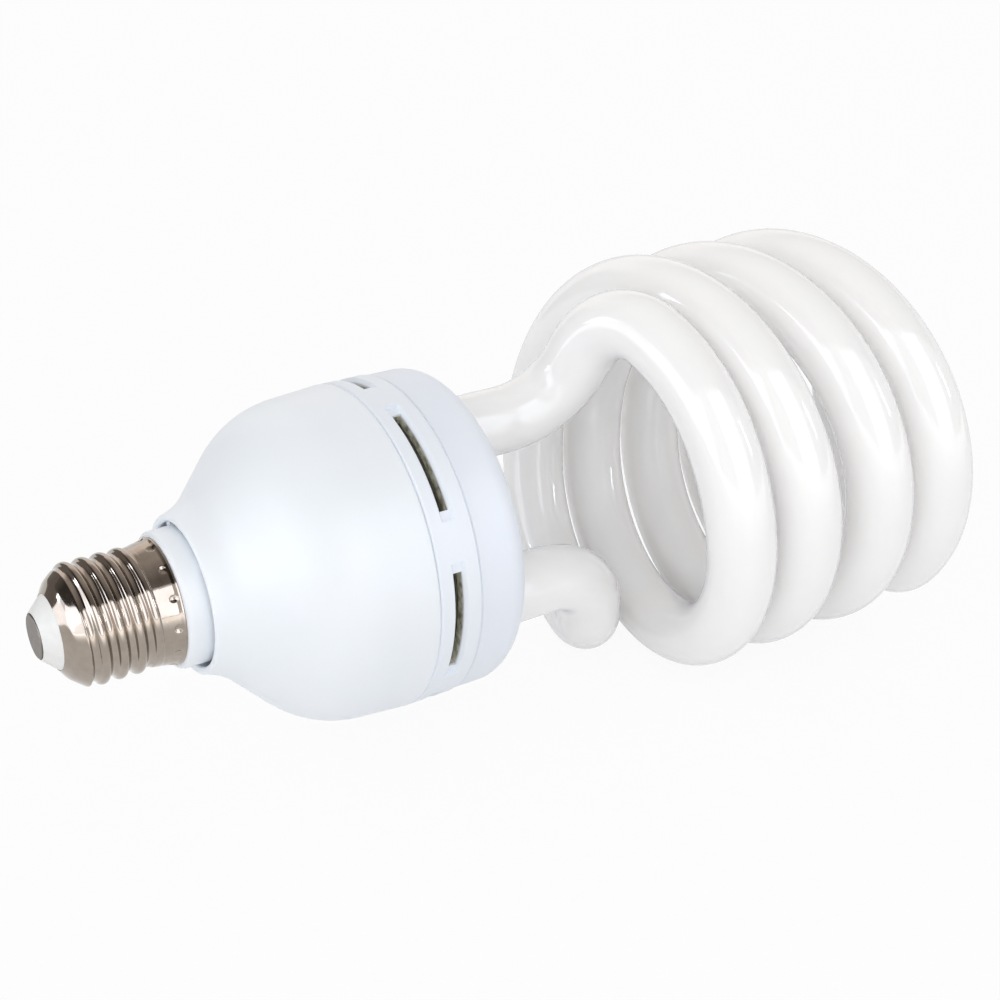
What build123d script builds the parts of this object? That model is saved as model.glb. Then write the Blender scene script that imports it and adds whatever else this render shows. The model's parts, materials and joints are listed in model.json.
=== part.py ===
"""Spiral compact fluorescent lamp: screw base, vented ballast housing and a double-helix tube.

X runs along the lamp's axis from the centre contact to the head and Z is up. The origin is the middle
of the contact's face. Lengths are in millimetres. Angles about the axis start at the top (+Z) and turn
towards the front (-Y), the way a right-handed thread turns as it runs along +X.
"""

import os
from math import cos, radians, sin

from build123d import *

# Screw base: a standard 27 mm Edison cap, its shell plain and as wide as the crests of its thread
CONTACT_R = 4.75
CONTACT_T = 1.2
CONTACT_PROUD = 0.25
CONTACT_EDGE = 0.15
CONE_X = 4.4
CONE_R = 8.9
INSULATOR_LIP = 0.3
FLANGE_X = 6.0
FLANGE_R = 9.9
PLUG_END = 9.5
SHELL_R = 13.2
SHELL_WALL = 1.5
SHOULDER_STEP = 0.9
SHOULDER_R = 10.35
SHOULDER_MID = (7.2, 12.0)
SHOULDER_X = 8.9
SKIRT_END = 26.3
RIM_X = 27.3
RIM_R = 13.75
RIM_T = 0.3

# Lower housing: spigot, collar, ribs and bell, the bell's places counted from its own rim
WALL = 1.7
SPIGOT_START = 12.0
SPIGOT_WALL = 2.0
COLLAR_R = 14.95
COLLAR_WALL = 2.0
COLLAR_LENGTH = 12.7
COLLAR_EDGE = 1.1
BELL_GAP = 4.5
BELL_RIM_R = 17.4
BELL_RIM_ROUND = 0.6
BELL_WAIST = 4.7
BELL_WAIST_R = 18.6
WAIST_BEND = 13.5
BELL_SHOULDER = 21.3
BELL_SHOULDER_R = 35.5
SHOULDER_BEND = 24.0
BELL_LENGTH = 42.0
BELL_END_R = 37.0
BELL_EDGE = 0.8
RIB_COUNT = 5
RIB_T = 2.0
RIB_ANGLE = -30.0
RIB_SET_BACK = 1.4

# Vent ring and tube cap
RING_STEP = 0.1
RING_WALL = 3.4
RING_LENGTH = 9.9
RING_EDGE = 0.4
LIP_LENGTH = 2.6
LIP_WALL = 1.8
LIP_GAP = 0.4
SLOT_COUNT = 6
SLOT_ANGLE = 37.0
SLOT_OFFSET = 4.75
SLOT_WIDTH = 2.1
SLOT_ARC = 39.0
RECESS_WIDTH = 3.3
RECESS_ARC = 46.0
RECESS_DEPTH = 0.9
CAP_STEP = 0.3
CAP_LENGTH = 12.9
CAP_CORNER = 5.0
CAP_WALL = 2.2
CAP_EDGE = 0.4
FIT = 0.15

# Glass tube: two legs, two interleaved strands and a bridge, places along it counted from the cap's face
TUBE_R = 7.95
TUBE_TAIL = 9.6
TUBE_END_ROUND = 2.5
LEG_INSET = 12.05
LEG_ANGLE = -28.0
NECK_RISE = (34.9, 33.5)
NECK_ARM = 15.5
NECK_BEND = 18.5
NECK_TURN = 15.0
COIL_R = 43.4
COIL_PITCH = 42.5
COIL_RISE = 41.0
COIL_START = 22.0
COIL_END = 668.0
COIL_STEPS = 16
COIL_EASE = 1.2
STRAND_SHIFT = (0.0, -1.5)
FOOT_SLACK = (2.5, 3.8)
FOOT_EASE = ((22.0, 90.0), (100.0, 250.0))
HEAD_SLACK = (3.3, 0.0)
HEAD_EASE = (480.0, 620.0)
BRIDGE_ARM = 38.5
BRIDGE_BEND = 17.0
HOLE_GAP = 0.25
CEMENT_INSET = 0.55
CEMENT_LENGTH = 5.5
CEMENT_GAP = 0.05

# Ballast board, leads and pins
BOARD_INSET = 0.55
BOARD_T = 1.5
LEAD_R = 0.7
LEAD_HOLE = 1.1
LEAD_BEND = 5.0
NEUTRAL_X = 10.75
NEUTRAL_Y = 1.5
NEUTRAL_Z = -4.5
WIRE_R = 0.35
PIN_W = 1.0
PIN_LENGTH = 4.0
PIN_PITCH = 6.5
FILAMENT_PITCH = 3.0
FILAMENT_DROP = 2.9
FILAMENT_BEND = 1.2
TOUCH = 0.05

# Pieces that stand on the board
CAN_R = 9.0
CAN_LENGTH = 28.0
CAN_GROOVE_AT = 4.0
CAN_GROOVE = 0.6
CAN_EDGE = 0.8
CHOKE_HEIGHT = 24.0
CHOKE_WIDTH = 24.0
CHOKE_DEPTH = 7.0
CHOKE_LEG = 7.0
CHOKE_YOKE = 4.0
CHOKE_LIMB = 3.5
BOBBIN_WALL = 1.0
BOBBIN_FLANGE = 16.0
BOBBIN_GAP = 0.2
WINDING_DROP = 0.7
FILM_LENGTH = 16.0
FILM_DEPTH = 7.0
FILM_HEIGHT = 13.0
FILM_ROUND = 1.2
TOROID_R = 5.5
TOROID_HOLE = 2.8
TOROID_HEIGHT = 5.0
TOROID_COILS = 3
TOROID_COIL_ARC = 50.0
TOROID_WIRE = 0.6
DRUM_R = 5.0
DRUM_CORE_R = 2.2
DRUM_LENGTH = 13.0
DRUM_FLANGE = 1.5
DRUM_WIRE_R = 4.3
CHIP_WIDTH = 10.0
CHIP_DEPTH = 4.5
CHIP_HEIGHT = 9.2
CHIP_RISE = 4.0
CHIP_TAB = 15.5
CHIP_TAB_T = 1.3
CHIP_HOLE_R = 1.8
CHIP_HOLE_AT = 12.7
CHIP_PITCH = 2.54
CHIP_LEG_W = 0.8
DISC_R = 4.0
DISC_T = 3.5
DISC_RISE = 1.5
DISC_PITCH = 5.0
DIODE_R = 1.35
DIODE_LENGTH = 5.2
RESISTOR_R = 1.2
RESISTOR_LENGTH = 6.3
FUSE_R = 1.8
FUSE_LENGTH = 8.5
AXIAL_RISE = 0.8
AXIAL_BEND = 0.8
AXIAL_REACH = 1.6
AXIAL_ROUND = 0.4

# Where each piece stands on the board: (y, z) of its middle
CAN_AT = (12.0, -15.0)
CHOKE_AT = (-11.0, 9.0)
FILM_AT = [(13.0, 7.0), (-12.0, -10.0)]
TOROID_AT = (9.0, 21.0)
DRUM_AT = (24.0, -2.0)
CHIP_AT = [(-16.0, -18.5), (-4.5, -24.0)]
DISC_AT = (2.0, 11.5)
DIODE_AT = [(-24.0, -6.5), (-28.0, -6.5), (-24.0, 4.5), (-28.0, 4.5)]
RESISTOR_AT = [(18.0, 16.0), (21.5, 16.0), (25.0, 16.0)]
FUSE_AT = (-9.0, 26.5)

# Places that follow from the sizes above
SHELL_BORE = SHELL_R - SHELL_WALL
SHELL_LIP = CONE_R + FIT
SPIGOT_R = SHELL_BORE - FIT
SPIGOT_BORE = SPIGOT_R - SPIGOT_WALL
BELL_X = RIM_X + BELL_GAP
RING_X = BELL_X + BELL_LENGTH
CAP_X = RING_X + RING_LENGTH
CAP_END = CAP_X + CAP_LENGTH
CAP_INSIDE = CAP_END - CAP_WALL
RING_R = BELL_END_R - RING_STEP
RING_BORE = RING_R - RING_WALL
RING_LIP_R = BELL_END_R - WALL - LIP_GAP
CAP_R = RING_R - CAP_STEP
CAP_LIP_R = RING_BORE - FIT
CAP_BORE = CAP_LIP_R - LIP_WALL
BOARD_R = CAP_LIP_R - BOARD_INSET
BOARD_BACK = CAP_X - LIP_LENGTH
BOARD_X = BOARD_BACK - BOARD_T
TUBE_END = CAP_END - TUBE_TAIL
LEG_R = CAP_BORE - LEG_INSET
CEMENT_R = LEG_INSET - CEMENT_INSET

# Sketch planes: through the axis for turned pieces, and on the board's component face
TURNED = Plane.XY
BOARD_FACE = Plane(origin=(BOARD_X, 0, 0), x_dir=(0, 1, 0), z_dir=(-1, 0, 0))


def around(angle, radius, x):
    """The point at an angle about the axis, a distance from it and a place along it."""
    turn = radians(angle)
    return Vector(x, -radius * sin(turn), radius * cos(turn))


def ease(angle, start, end):
    """Goes smoothly from 0 at one angle to 1 at another."""
    share = min(1, max(0, (angle - start) / (end - start)))
    return share**2 * (3 - 2 * share)


def across(angle, x):
    """The plane square to the axis whose own X points out at the given angle."""
    return Plane(origin=(x, 0, 0), x_dir=around(angle, 1, 0), z_dir=(1, 0, 0))


def through(angle):
    """The plane through the axis whose own X is the axis and whose Y points out at the given angle."""
    return Plane(origin=(0, 0, 0), x_dir=(1, 0, 0), z_dir=Vector(1, 0, 0).cross(around(angle, 1, 0)))


def on_board(place):
    """The component face's own coordinates of a (y, z) place."""
    return (place[0], -place[1])


def standing(place):
    """The plane through a place on the board whose own X rises from the component face."""
    return Plane(origin=(BOARD_X, *place), x_dir=(-1, 0, 0), z_dir=(0, 0, 1))


def wire(points, bend, radius):
    """A round wire along straight runs, with one bend radius at every corner."""
    with BuildLine() as route:
        if len(points) > 2:
            FilletPolyline(*points, radius=bend)
        else:
            Line(*points)
    with BuildPart() as made:
        with BuildSketch(Plane(origin=route.line @ 0, z_dir=route.line % 0)):
            Circle(radius)
        sweep(path=route.line)
    return made.part


def axial(place, radius, length, run):
    """A lying round body on bent legs that reach the board's component face."""
    foot = Vector(BOARD_X, *place)
    middle = foot - Vector(AXIAL_RISE + radius, 0, 0)
    reach = run * (length / 2 + AXIAL_REACH)
    legs = wire([foot - reach, middle - reach, middle + reach, foot + reach], AXIAL_BEND, WIRE_R)
    with BuildPart() as made:
        with BuildSketch(Plane(origin=middle - run * (length / 2), z_dir=run)):
            Circle(radius)
        extrude(amount=length)
        fillet(made.edges().filter_by(GeomType.CIRCLE), AXIAL_ROUND)
        add(legs)
    return made.part


def save(piece, name):
    """Labels a finished piece and writes it."""
    piece.label = name
    export_step(piece, f"parts/{name}.step")


os.makedirs("parts", exist_ok=True)

# Centre contact: a plain disc let into the insulator
with BuildPart() as centre_contact:
    with BuildSketch(Plane.YZ):
        Circle(CONTACT_R)
    extrude(amount=CONTACT_T)
    chamfer(centre_contact.edges().group_by(Axis.X)[0], CONTACT_EDGE)
save(centre_contact.part, "centre_contact")

# Insulator: a cone outside, a flanged plug behind the shell's lip and a hole for the line lead
with BuildPart() as base_insulator:
    with BuildSketch(TURNED):
        with BuildLine():
            Polyline(
                (CONTACT_T, LEAD_HOLE), (CONTACT_T, CONTACT_R + FIT), (CONTACT_PROUD, CONTACT_R + FIT),
                (CONTACT_PROUD, CONTACT_R + INSULATOR_LIP), (CONE_X, CONE_R), (FLANGE_X, CONE_R),
                (FLANGE_X, FLANGE_R), (FLANGE_X + SPIGOT_R - FLANGE_R, SPIGOT_R),
                (PLUG_END, SPIGOT_R), (PLUG_END, LEAD_HOLE), close=True)
        make_face()
    revolve(axis=Axis.X)
save(base_insulator.part, "base_insulator")

# Screw shell: drawn shoulder, barrel, skirt and a flared rim
with BuildPart() as screw_shell:
    with BuildSketch(TURNED):
        with BuildLine():
            Polyline((FLANGE_X, SHELL_LIP), (CONE_X, SHELL_LIP), (CONE_X + SHOULDER_STEP, SHOULDER_R))
            ThreePointArc((CONE_X + SHOULDER_STEP, SHOULDER_R), SHOULDER_MID, (SHOULDER_X, SHELL_R))
            Polyline(
                (SHOULDER_X, SHELL_R), (SKIRT_END, SHELL_R), (RIM_X - RIM_T, RIM_R), (RIM_X, RIM_R),
                (RIM_X, SHELL_BORE), (FLANGE_X + SHELL_BORE - FLANGE_R, SHELL_BORE),
                (FLANGE_X, FLANGE_R), (FLANGE_X, SHELL_LIP))
        make_face()
    revolve(axis=Axis.X)
save(screw_shell.part, "screw_shell")

# Ribs between the collar and the bell, trimmed to the middle of the bell's wall
with BuildLine(TURNED) as bell_line:
    FilletPolyline(
        (BELL_X, BELL_RIM_R), (BELL_X + BELL_WAIST, BELL_WAIST_R),
        (BELL_X + BELL_SHOULDER, BELL_SHOULDER_R), (RING_X, BELL_END_R),
        radius=(WAIST_BEND, SHOULDER_BEND))
rib_start = BELL_X + RIB_SET_BACK
rib_end = RIM_X + COLLAR_LENGTH
with BuildPart() as ribs:
    for i in range(RIB_COUNT):
        with BuildSketch(across(RIB_ANGLE + 360 * i / RIB_COUNT, rib_start)):
            with Locations((COLLAR_R - COLLAR_WALL / 2, 0)):
                Rectangle(BELL_END_R - COLLAR_R, RIB_T, align=(Align.MIN, Align.CENTER))
        extrude(amount=rib_end - rib_start)
    with BuildSketch(TURNED):
        with BuildLine():
            add(bell_line.line)
            Polyline((RING_X, BELL_END_R), (RING_X, 0), (BELL_X, 0), (BELL_X, BELL_RIM_R))
        make_face()
        offset(amount=-WALL / 2, kind=Kind.INTERSECTION, mode=Mode.REPLACE)
    revolve(axis=Axis.X, mode=Mode.INTERSECT)

# Lower housing: spigot inside the shell, collar, ribs and the flared bell, moulded as one
with BuildPart() as lower_housing:
    with BuildSketch(TURNED) as bell_strip:
        with BuildLine():
            outer = add(bell_line.line)
            offset(outer, amount=WALL, side=Side.RIGHT, closed=True)
        make_face()
        with Locations((BELL_X, 0)):
            Rectangle(BELL_LENGTH, 2 * BELL_END_R, align=(Align.MIN, Align.CENTER), mode=Mode.INTERSECT)
        fillet(bell_strip.vertices().sort_by(Axis.X)[:2], BELL_RIM_ROUND)
        fillet(bell_strip.vertices().sort_by(Axis.X)[-2:].sort_by(Axis.Y)[-1], BELL_EDGE)
    revolve(axis=Axis.X)
    with BuildSketch(TURNED) as neck_strip:
        with BuildLine():
            Polyline(
                (SPIGOT_START, SPIGOT_BORE), (SPIGOT_START, SPIGOT_R), (RIM_X, SPIGOT_R),
                (RIM_X, COLLAR_R), (rib_end, COLLAR_R), (rib_end, COLLAR_R - COLLAR_WALL),
                (RIM_X + COLLAR_WALL, COLLAR_R - COLLAR_WALL), (RIM_X + COLLAR_WALL, SPIGOT_BORE),
                close=True)
        make_face()
        fillet(neck_strip.vertices().sort_by_distance((RIM_X, COLLAR_R))[0], COLLAR_EDGE)
    revolve(axis=Axis.X)
    add(ribs.part)
save(lower_housing.part, "lower_housing")

# Vent ring: a lip into the bell and slots that narrow through the wall
with BuildPart() as vent_ring:
    with BuildSketch(TURNED):
        with BuildLine():
            Polyline(
                (RING_X - LIP_LENGTH, RING_BORE), (RING_X - LIP_LENGTH, RING_LIP_R), (RING_X, RING_LIP_R),
                (RING_X, RING_R), (CAP_X, RING_R), (CAP_X, RING_BORE), close=True)
        make_face()
    revolve(axis=Axis.X)
    chamfer(vent_ring.edges().filter_by(GeomType.CIRCLE).sort_by(SortBy.RADIUS)[-2:], RING_EDGE)
    slot_x = RING_X + SLOT_OFFSET
    widen = (RECESS_WIDTH - SLOT_WIDTH) / 2
    for i in range(SLOT_COUNT):
        middle = SLOT_ANGLE + 360 * i / SLOT_COUNT
        with BuildSketch(through(middle - SLOT_ARC / 2)):
            with Locations((slot_x, RING_R)):
                Rectangle(SLOT_WIDTH, 3 * RING_WALL)
        revolve(axis=Axis.X, revolution_arc=SLOT_ARC, mode=Mode.SUBTRACT)
        with BuildSketch(through(middle - RECESS_ARC / 2)):
            with BuildLine():
                Polyline(
                    (slot_x - SLOT_WIDTH / 2, RING_R - RECESS_DEPTH),
                    (slot_x + SLOT_WIDTH / 2, RING_R - RECESS_DEPTH),
                    (slot_x + RECESS_WIDTH / 2 + widen, RING_R + RECESS_DEPTH),
                    (slot_x - RECESS_WIDTH / 2 - widen, RING_R + RECESS_DEPTH), close=True)
            make_face()
        revolve(axis=Axis.X, revolution_arc=RECESS_ARC, mode=Mode.SUBTRACT)
save(vent_ring.part, "vent_ring")

# Tube cap: a round-cornered lid with a lip into the ring and a hole for each leg
with BuildPart() as tube_cap:
    with BuildSketch(TURNED):
        with BuildLine():
            Polyline((CAP_END, 0), (CAP_END, CAP_R - CAP_CORNER))
            RadiusArc((CAP_END, CAP_R - CAP_CORNER), (CAP_END - CAP_CORNER, CAP_R), -CAP_CORNER)
            Polyline(
                (CAP_END - CAP_CORNER, CAP_R), (CAP_X, CAP_R), (CAP_X, CAP_LIP_R),
                (BOARD_BACK, CAP_LIP_R), (BOARD_BACK, CAP_BORE), (CAP_INSIDE, CAP_BORE), (CAP_INSIDE, 0),
                (CAP_END, 0))
        make_face()
    revolve(axis=Axis.X)
    chamfer(tube_cap.edges().filter_by(GeomType.CIRCLE).filter_by_position(
        Axis.X, CAP_X - TOUCH, CAP_X + TOUCH).sort_by(SortBy.RADIUS)[-1], CAP_EDGE)
    with BuildSketch(across(LEG_ANGLE, CAP_INSIDE)):
        with PolarLocations(LEG_R, 2):
            Circle(TUBE_R + HOLE_GAP)
    extrude(amount=CAP_WALL, mode=Mode.SUBTRACT)
save(tube_cap.part, "tube_cap")

# Spiral tube: both strands start at the cap, rise through swan necks and meet in a bridge at the head.
# Each strand is a run of arcs between corners that lie on a helix, so the tube is made of plain torus bends.
# A strand starts a little ahead of its helix and settles into it, and the first one ends a little behind
coil_step = (COIL_END - COIL_START) / COIL_STEPS
corner_r = COIL_R / cos(radians(coil_step / 2))
halves = []
for strand in range(2):
    half_turn = 180 * strand
    coil_x = CAP_END + COIL_RISE + STRAND_SHIFT[strand]

    def on_strand(angle, radius):
        """The point at an angle along this strand, at a distance from the axis."""
        ahead = FOOT_SLACK[strand] * (1 - ease(angle, *FOOT_EASE[strand]))
        behind = HEAD_SLACK[strand] * ease(angle, *HEAD_EASE)
        return around(half_turn + angle, radius, coil_x + COIL_PITCH * angle / 360 + ahead - behind)

    corners = [on_strand(COIL_START + coil_step * (i + 0.5), corner_r) for i in range(COIL_STEPS)]
    start = on_strand(COIL_START, COIL_R)
    end = on_strand(COIL_END, COIL_R)
    halves.append([
        around(half_turn + LEG_ANGLE, LEG_R, TUBE_END),
        around(half_turn + LEG_ANGLE, LEG_R, CAP_END + NECK_RISE[strand]),
        start - (corners[0] - start).normalized() * NECK_ARM,
        *corners,
        end + (end - corners[-1]).normalized() * BRIDGE_ARM])
first, second = halves
bends = [NECK_BEND, NECK_TURN] + [COIL_R - COIL_EASE] * COIL_STEPS + [BRIDGE_BEND]
with BuildLine() as tube_path:
    FilletPolyline(*first, *reversed(second), radius=bends + bends[::-1])
with BuildPart() as spiral_tube:
    with BuildSketch(across(LEG_ANGLE, TUBE_END)):
        with Locations((LEG_R, 0)):
            Circle(TUBE_R)
    sweep(path=tube_path.wire())
    fillet(spiral_tube.edges().group_by(Axis.X)[0], TUBE_END_ROUND)
save(spiral_tube.part, "spiral_tube")

# Cement around each leg, on the inside of the cap
for i in range(2):
    with BuildPart() as tube_cement:
        with BuildSketch(across(LEG_ANGLE + 180 * i, CAP_INSIDE - CEMENT_LENGTH)):
            with Locations((LEG_R, 0)):
                Circle(CEMENT_R)
                Circle(TUBE_R + CEMENT_GAP, mode=Mode.SUBTRACT)
        extrude(amount=CEMENT_LENGTH)
    save(tube_cement.part, f"tube_cement_{i + 1}")

# Circuit board, seated on the end of the cap's lip
with BuildPart() as circuit_board:
    with BuildSketch(BOARD_FACE):
        Circle(BOARD_R)
    extrude(amount=-BOARD_T)
save(circuit_board.part, "circuit_board")

# Bulk capacitor: a sleeved can with a crimp near its foot
with BuildPart() as bulk_capacitor:
    with BuildSketch(standing(CAN_AT)):
        with BuildLine():
            Polyline((CAN_GROOVE_AT - CAN_GROOVE, CAN_R), (0, CAN_R), (0, 0), (CAN_LENGTH, 0),
                     (CAN_LENGTH, CAN_R), (CAN_GROOVE_AT + CAN_GROOVE, CAN_R))
            RadiusArc((CAN_GROOVE_AT + CAN_GROOVE, CAN_R), (CAN_GROOVE_AT - CAN_GROOVE, CAN_R), CAN_GROOVE)
        make_face()
    revolve(axis=Axis((BOARD_X, *CAN_AT), (1, 0, 0)))
    fillet(bulk_capacitor.edges().group_by(Axis.X)[0], CAN_EDGE)
save(bulk_capacitor.part, "bulk_capacitor")

# Resonant choke: an E-core pair, its bobbin on the middle leg and the winding on the bobbin
choke_middle = BOARD_X - CHOKE_HEIGHT / 2
window_h = CHOKE_HEIGHT - 2 * CHOKE_YOKE
window_w = (CHOKE_WIDTH - CHOKE_LEG) / 2 - CHOKE_LIMB
with BuildPart() as choke_core:
    with BuildSketch(Plane((choke_middle, *CHOKE_AT), x_dir=(1, 0, 0), z_dir=(0, -1, 0))):
        Rectangle(CHOKE_HEIGHT, CHOKE_WIDTH)
        with GridLocations(0, CHOKE_LEG + window_w, 1, 2):
            Rectangle(window_h, window_w, mode=Mode.SUBTRACT)
    extrude(amount=CHOKE_DEPTH / 2, both=True)
save(choke_core.part, "choke_core")

bobbin_length = window_h - 2 * BOBBIN_GAP
bobbin_start = Plane((choke_middle - bobbin_length / 2, *CHOKE_AT), x_dir=(0, 1, 0), z_dir=(1, 0, 0))
sleeve_y = CHOKE_DEPTH + 2 * (BOBBIN_GAP + BOBBIN_WALL)
sleeve_z = CHOKE_LEG + 2 * (BOBBIN_GAP + BOBBIN_WALL)
with BuildPart() as choke_bobbin:
    with BuildSketch(bobbin_start):
        Rectangle(sleeve_y, sleeve_z)
    extrude(amount=bobbin_length)
    with BuildSketch(bobbin_start, bobbin_start.offset(bobbin_length - BOBBIN_WALL)):
        Rectangle(BOBBIN_FLANGE, BOBBIN_FLANGE)
    extrude(amount=BOBBIN_WALL)
    with BuildSketch(bobbin_start):
        Rectangle(sleeve_y - 2 * BOBBIN_WALL, sleeve_z - 2 * BOBBIN_WALL)
    extrude(amount=bobbin_length, mode=Mode.SUBTRACT)
save(choke_bobbin.part, "choke_bobbin")

with BuildPart() as choke_winding:
    with BuildSketch(bobbin_start.offset(BOBBIN_WALL)):
        RectangleRounded(BOBBIN_FLANGE - 2 * WINDING_DROP, BOBBIN_FLANGE - 2 * WINDING_DROP, BOBBIN_WALL)
        Rectangle(sleeve_y, sleeve_z, mode=Mode.SUBTRACT)
    extrude(amount=bobbin_length - 2 * BOBBIN_WALL)
save(choke_winding.part, "choke_winding")

# Film capacitors: dipped blocks
for i, place in enumerate(FILM_AT, 1):
    with BuildPart() as film_capacitor:
        with BuildSketch(BOARD_FACE):
            with Locations(on_board(place)):
                RectangleRounded(FILM_LENGTH, FILM_DEPTH, FILM_ROUND)
        extrude(amount=FILM_HEIGHT)
        fillet(film_capacitor.edges().group_by(Axis.X)[0], FILM_ROUND)
    save(film_capacitor.part, f"film_capacitor_{i}")

# Drive transformer: a toroid that lies on its three windings
with BuildPart() as toroid_core:
    with BuildSketch(BOARD_FACE.offset(TOROID_WIRE + TOUCH)):
        with Locations(on_board(TOROID_AT)):
            Circle(TOROID_R)
            Circle(TOROID_HOLE, mode=Mode.SUBTRACT)
    extrude(amount=TOROID_HEIGHT)
save(toroid_core.part, "toroid_core")

toroid_axis = Axis((BOARD_X, *TOROID_AT), (1, 0, 0))
section_r = (TOROID_R + TOROID_HOLE) / 2
section_w = TOROID_R - TOROID_HOLE + 2 * TOUCH
section_h = TOROID_HEIGHT + 2 * TOUCH
for i in range(TOROID_COILS):
    with BuildPart() as toroid_winding:
        with BuildSketch(standing(TOROID_AT).rotated((360 * i / TOROID_COILS, 0, 0))):
            with Locations((TOROID_WIRE + section_h / 2, section_r)):
                Rectangle(section_h + 2 * TOROID_WIRE, section_w + 2 * TOROID_WIRE)
                Rectangle(section_h, section_w, mode=Mode.SUBTRACT)
        revolve(axis=toroid_axis, revolution_arc=TOROID_COIL_ARC)
    save(toroid_winding.part, f"toroid_winding_{i + 1}")

# Filter choke: a ferrite drum and its winding
drum_foot = BOARD_FACE.offset(DRUM_FLANGE)
with BuildPart() as filter_core:
    with BuildSketch(BOARD_FACE, BOARD_FACE.offset(DRUM_LENGTH - DRUM_FLANGE)):
        with Locations(on_board(DRUM_AT)):
            Circle(DRUM_R)
    extrude(amount=DRUM_FLANGE)
    with BuildSketch(BOARD_FACE):
        with Locations(on_board(DRUM_AT)):
            Circle(DRUM_CORE_R)
    extrude(amount=DRUM_LENGTH)
save(filter_core.part, "filter_core")

with BuildPart() as filter_winding:
    with BuildSketch(drum_foot):
        with Locations(on_board(DRUM_AT)):
            Circle(DRUM_WIRE_R)
            Circle(DRUM_CORE_R + TOUCH, mode=Mode.SUBTRACT)
    extrude(amount=DRUM_LENGTH - 2 * DRUM_FLANGE)
save(filter_winding.part, "filter_winding")

# Power transistors: a moulded block on a drilled tab and three legs
for i, place in enumerate(CHIP_AT, 1):
    with BuildPart() as power_transistor:
        with BuildSketch(BOARD_FACE.offset(CHIP_RISE)):
            with Locations(on_board(place)):
                Rectangle(CHIP_WIDTH, CHIP_DEPTH)
        extrude(amount=CHIP_HEIGHT)
        with BuildSketch(BOARD_FACE.offset(CHIP_RISE)):
            with Locations(on_board((place[0], place[1] - (CHIP_DEPTH - CHIP_TAB_T) / 2))):
                Rectangle(CHIP_WIDTH, CHIP_TAB_T)
        extrude(amount=CHIP_TAB)
        with BuildSketch(BOARD_FACE):
            with Locations(on_board(place)):
                with GridLocations(CHIP_PITCH, 0, 3, 1):
                    Rectangle(CHIP_LEG_W, CHIP_LEG_W)
        extrude(amount=CHIP_RISE)
        hole_x = BOARD_X - CHIP_RISE - CHIP_HOLE_AT
        with BuildSketch(Plane((hole_x, *place), x_dir=(0, 1, 0), z_dir=(0, 0, 1))):
            Circle(CHIP_HOLE_R)
        extrude(amount=CHIP_DEPTH, both=True, mode=Mode.SUBTRACT)
    save(power_transistor.part, f"power_transistor_{i}")

# Preheat thermistor: a disc on edge, on two legs
disc_x = BOARD_X - DISC_RISE - DISC_R
with BuildPart() as thermistor:
    with BuildSketch(Plane((disc_x, *DISC_AT), x_dir=(1, 0, 0), z_dir=(0, 1, 0))):
        Circle(DISC_R)
    extrude(amount=DISC_T / 2, both=True)
    with BuildSketch(BOARD_FACE):
        with Locations(on_board(DISC_AT)):
            with GridLocations(0, DISC_PITCH, 1, 2):
                Circle(WIRE_R)
    extrude(amount=DISC_RISE + DISC_R)
save(thermistor.part, "thermistor")

# Diodes, resistors and the fuse lie on bent legs
for i, place in enumerate(DIODE_AT, 1):
    save(axial(place, DIODE_R, DIODE_LENGTH, Vector(0, 0, 1)), f"rectifier_diode_{i}")
for i, place in enumerate(RESISTOR_AT, 1):
    save(axial(place, RESISTOR_R, RESISTOR_LENGTH, Vector(0, 0, 1)), f"resistor_{i}")
save(axial(FUSE_AT, FUSE_R, FUSE_LENGTH, Vector(0, 1, 0)), "fuse")

# Mains leads: one from the contact along the axis, one from the shell's wall
save(wire([(CONTACT_T, 0, 0), (BOARD_X, 0, 0)], LEAD_BEND, LEAD_R), "line_lead")
shell_wall_z = -((SHELL_BORE**2 - (NEUTRAL_Y + LEAD_R) ** 2) ** 0.5) + TOUCH
neutral_route = [(NEUTRAL_X, NEUTRAL_Y, shell_wall_z), (NEUTRAL_X, NEUTRAL_Y, NEUTRAL_Z),
                 (BOARD_X, NEUTRAL_Y, NEUTRAL_Z)]
save(wire(neutral_route, LEAD_BEND, LEAD_R), "neutral_lead")

# Wrap pins on the board's rear face and the filament leads that reach them, two to a leg
for i in range(4):
    leg_angle = LEG_ANGLE + 180 * (i // 2)
    side = around(leg_angle + 90, 1 if i % 2 else -1, 0)
    leg = around(leg_angle, LEG_R, 0)
    pin = leg + side * PIN_PITCH
    with BuildPart() as wrap_pin:
        with BuildSketch(Plane((BOARD_BACK, pin.Y, pin.Z), x_dir=side, z_dir=(1, 0, 0))):
            Rectangle(PIN_W, PIN_W)
        extrude(amount=PIN_LENGTH)
    save(wrap_pin.part, f"wrap_pin_{i + 1}")
    exit_point = leg + side * FILAMENT_PITCH
    drop = Vector(TUBE_END - FILAMENT_DROP, 0, 0)
    route = [exit_point + Vector(TUBE_END, 0, 0), exit_point + drop,
             leg + side * (PIN_PITCH - PIN_W / 2 - TOUCH) + drop]
    save(wire(route, FILAMENT_BEND, WIRE_R), f"filament_lead_{i + 1}")
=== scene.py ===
# %% [markdown]
# # A spiral compact fluorescent lamp
#
# This lesson dresses the solids of a spiral lamp for a studio picture. The housing, the vent ring and
# the pieces inside keep their CAD meshes and get materials. The glass tube and the rolled screw shell
# are modelled again here, because their curves are what the eye follows.

# %% Load the frame
import json
from math import atan2, cos, floor, hypot, pi, radians, sin, sqrt, tan

import bmesh
import bpy
from mathutils import Matrix, Vector


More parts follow.
